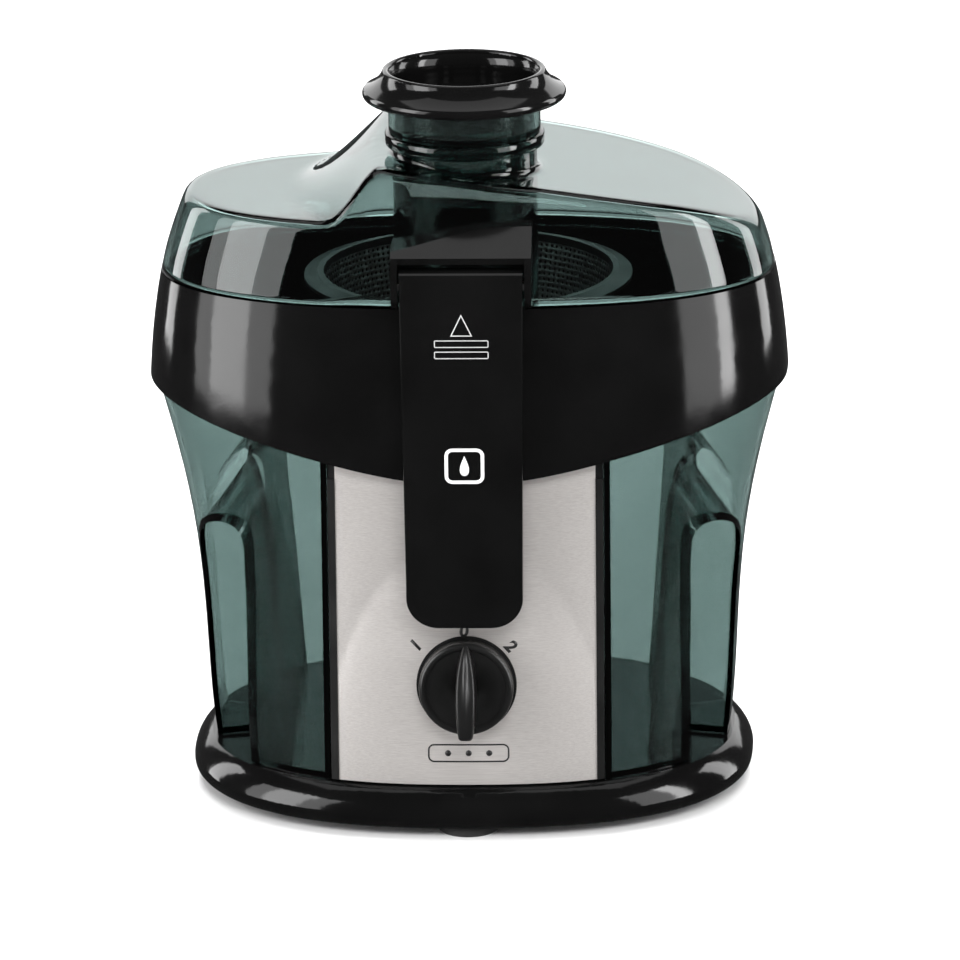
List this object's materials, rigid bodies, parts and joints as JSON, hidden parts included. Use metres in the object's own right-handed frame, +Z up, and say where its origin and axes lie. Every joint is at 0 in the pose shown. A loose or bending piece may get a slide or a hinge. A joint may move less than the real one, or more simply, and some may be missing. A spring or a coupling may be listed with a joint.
{
  "type": "centrifugal juicer",
  "caption": "Countertop centrifugal juicer with a smoked lid and feed tube, front safety latch, steel front panel with a rotary speed knob, and side containers that slide out.",
  "frame": {"origin": "on the resting surface, under the middle of the base", "axes": "+Z up, front with the knob and latch towards -Y, juice container towards +X"},
  "size_m": [0.2827, 0.2242, 0.3292],
  "materials": {
    "gloss_black": "polished black moulded plastic",
    "satin_black": "fine satin black plastic",
    "smoked_clear": "clear plastic with a smoked green tint",
    "brushed_steel": "horizontally brushed stainless steel",
    "sieve_steel": "etched stainless steel sieve",
    "bright_steel": "bright machined steel",
    "core_steel": "varnished laminations",
    "bracket_metal": "pressed and cast motor ends",
    "copper": "enamelled copper wire and copper bars",
    "soft_rubber": "soft black rubber",
    "grey_plastic": "dark grey plastic"
  },
  "bodies": {
    "housing": {"base_shell": "gloss_black", "cord_gland": "soft_rubber", "bottom_cover": "satin_black", "base_screws": "bright_steel", "motor_housing": "satin_black", "front_panel": "brushed_steel", "panel_trim_left": "satin_black", "panel_trim_right": "satin_black", "latch_catch": "satin_black", "knob_bezel": "satin_black", "rotary_switch": "grey_plastic", "safety_switch": "grey_plastic", "stator_core": "core_steel", "field_coil_front": "copper", "field_coil_rear": "copper", "lower_bracket": "bracket_metal", "upper_bracket": "bracket_metal", "lower_bearing": "bright_steel", "upper_bearing": "bright_steel", "brush_holder_left": "grey_plastic", "brush_holder_right": "grey_plastic", "motor_screws": "bright_steel", "motor_mount_1": "soft_rubber", "motor_mount_2": "soft_rubber", "motor_mount_3": "soft_rubber", "motor_mount_4": "soft_rubber", "foot_front": "soft_rubber", "foot_rear": "soft_rubber", "foot_left": "soft_rubber", "foot_right": "soft_rubber"},
    "rotor": {"motor_shaft": "bright_steel", "armature_core": "core_steel", "armature_windings": "copper", "commutator": "copper", "cooling_fan": "grey_plastic", "drive_coupling": "grey_plastic"},
    "bowl": {"juice_bowl": "gloss_black", "bowl_seal": "soft_rubber"},
    "basket": {"basket_base": "grey_plastic", "grater_disc": "sieve_steel", "basket_mesh": "sieve_steel", "basket_rim": "satin_black"},
    "lid": {"lid": "smoked_clear", "latch_bracket": "gloss_black", "hinge_pin": "bright_steel"},
    "latch": {"latch_arm": "gloss_black"},
    "pusher": {"pusher_body": "smoked_clear", "pusher_cap": "gloss_black"},
    "knob": {"speed_knob": "satin_black", "knob_shaft": "bright_steel"},
    "plunger": {"interlock_plunger": "satin_black"},
    "juice_cup": {"juice_container": "smoked_clear"},
    "pulp_cup": {"pulp_container": "smoked_clear"}
  },
  "joints": [
    {"name": "rotor_spin", "type": "hinge", "parent": "housing", "child": "rotor", "pos_m": [0, 0, 0.1], "axis": [0, 0, 1], "continuous": true},
    {"name": "bowl_lift", "type": "slide", "parent": "housing", "child": "bowl", "axis": [0, 0, 1], "range_m": [0, 0.12]},
    {"name": "basket_spin", "type": "hinge", "parent": "bowl", "child": "basket", "pos_m": [0, 0, 0.21], "axis": [0, 0, 1], "continuous": true},
    {"name": "lid_lift", "type": "slide", "parent": "bowl", "child": "lid", "axis": [0, 0, 1], "range_m": [0, 0.12]},
    {"name": "latch_swing", "type": "hinge", "parent": "lid", "child": "latch", "pos_m": [0, -0.0915, 0.249], "axis": [-1, 0, 0], "range_deg": [0, 95]},
    {"name": "pusher_lift", "type": "slide", "parent": "lid", "child": "pusher", "axis": [0, 0, 1], "range_m": [0, 0.12]},
    {"name": "knob_turn", "type": "hinge", "parent": "housing", "child": "knob", "pos_m": [0, -0.08786, 0.0676], "axis": [0, -0.9975, 0.0709], "range_deg": [-50, 50]},
    {"name": "plunger_slide", "type": "slide", "parent": "housing", "child": "plunger", "axis": [0, -1, 0], "range_m": [0, 0.0025]},
    {"name": "juice_cup_slide", "type": "slide", "parent": "housing", "child": "juice_cup", "axis": [1, 0, 0], "range_m": [0, 0.11]},
    {"name": "pulp_cup_slide", "type": "slide", "parent": "housing", "child": "pulp_cup", "axis": [-1, 0, 0], "range_m": [0, 0.11]}
  ],
  "couplings": [
    {"joint": "basket_spin", "follows": "rotor_spin", "ratio": 1},
    {"joint": "plunger_slide", "follows": "latch_swing", "m_per_rad": 0.0015077}
  ]
}
